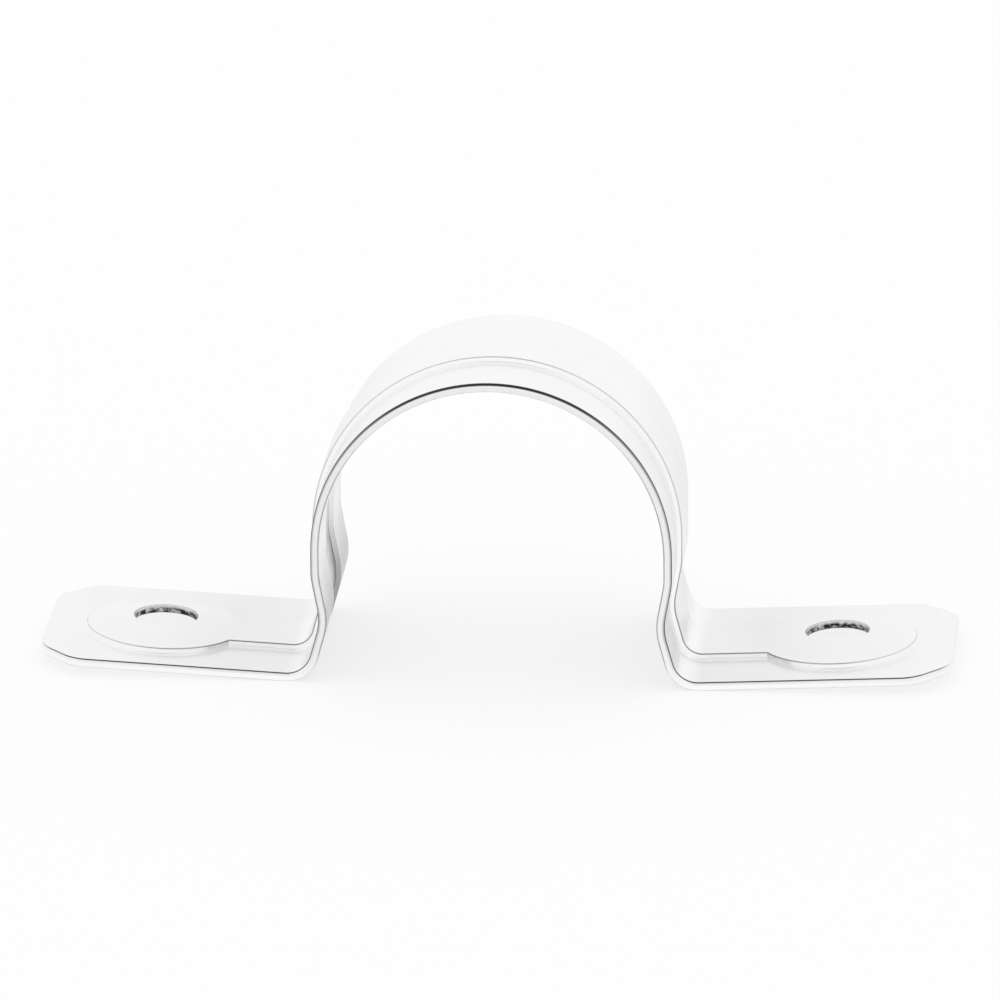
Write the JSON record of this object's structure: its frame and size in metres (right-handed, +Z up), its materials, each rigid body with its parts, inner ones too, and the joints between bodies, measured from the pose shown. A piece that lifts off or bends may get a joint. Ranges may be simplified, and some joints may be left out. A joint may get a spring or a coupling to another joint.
{
  "type": "conduit strap",
  "caption": "Stamped steel strap that holds a conduit to a wall: a ribbed arch with pinched legs between flat feet with raised screw holes.",
  "frame": {"origin": "on the conduit's axis, half-way across the strap's width", "axes": "+X along the strip from foot to foot, +Y along the conduit, +Z up out of the wall, through the arch's crown"},
  "size_m": [0.102, 0.0254, 0.0359],
  "materials": {
    "zinc_plate": "bright zinc plate on cold-rolled sheet steel, smooth, with faint rolling marks"
  },
  "bodies": {
    "root": {"strap": "zinc_plate"}
  },
  "joints": []
}
